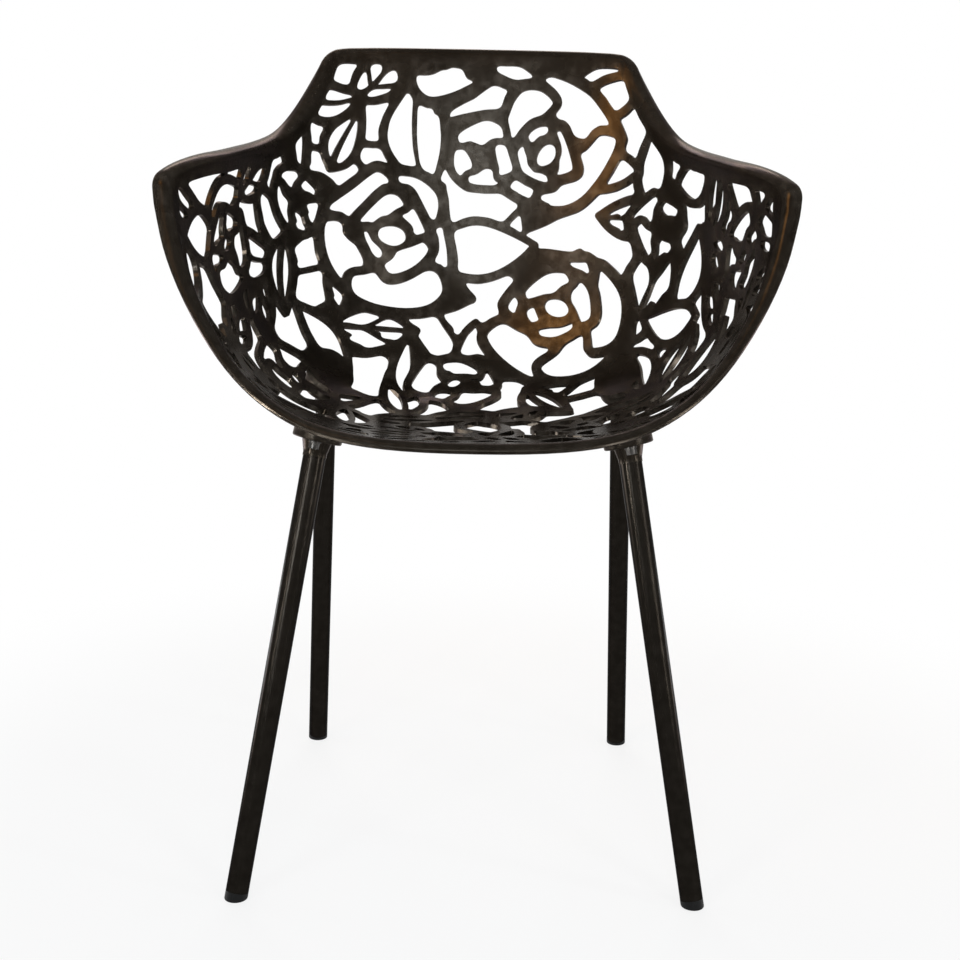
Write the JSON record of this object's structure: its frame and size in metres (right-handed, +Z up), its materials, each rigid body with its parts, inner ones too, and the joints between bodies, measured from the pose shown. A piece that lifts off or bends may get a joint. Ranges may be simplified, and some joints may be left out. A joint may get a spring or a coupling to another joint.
{
  "type": "openwork garden armchair",
  "caption": "Bucket-shaped openwork cast shell of flowers and leaves with a curled rim, on straight splayed tube legs held by oval brackets under the seat.",
  "frame": {"origin": "on the floor, under the middle of the whole chair's bounding box", "axes": "+Z up, -Y towards the front of the chair, +X to the right of someone who looks at its front"},
  "size_m": [0.6054, 0.4926, 0.8099],
  "materials": {
    "shell": "satin dark powder coat",
    "bracket": "satin dark powder coat",
    "leg": "satin dark powder coat",
    "glide": "black moulded plastic",
    "screw": "blackened steel"
  },
  "bodies": {
    "root": {"seat_shell": "shell", "leg_bracket_front_left": "bracket", "leg_tube_front_left": "leg", "foot_glide_front_left": "glide", "bracket_screws_front_left": "screw", "bracket_washers_front_left": "screw", "leg_bracket_front_right": "bracket", "leg_tube_front_right": "leg", "foot_glide_front_right": "glide", "bracket_screws_front_right": "screw", "bracket_washers_front_right": "screw", "leg_bracket_rear_left": "bracket", "leg_tube_rear_left": "leg", "foot_glide_rear_left": "glide", "bracket_screws_rear_left": "screw", "bracket_washers_rear_left": "screw", "leg_bracket_rear_right": "bracket", "leg_tube_rear_right": "leg", "foot_glide_rear_right": "glide", "bracket_screws_rear_right": "screw", "bracket_washers_rear_right": "screw", "leg_lock_screws": "screw"}
  },
  "joints": []
}
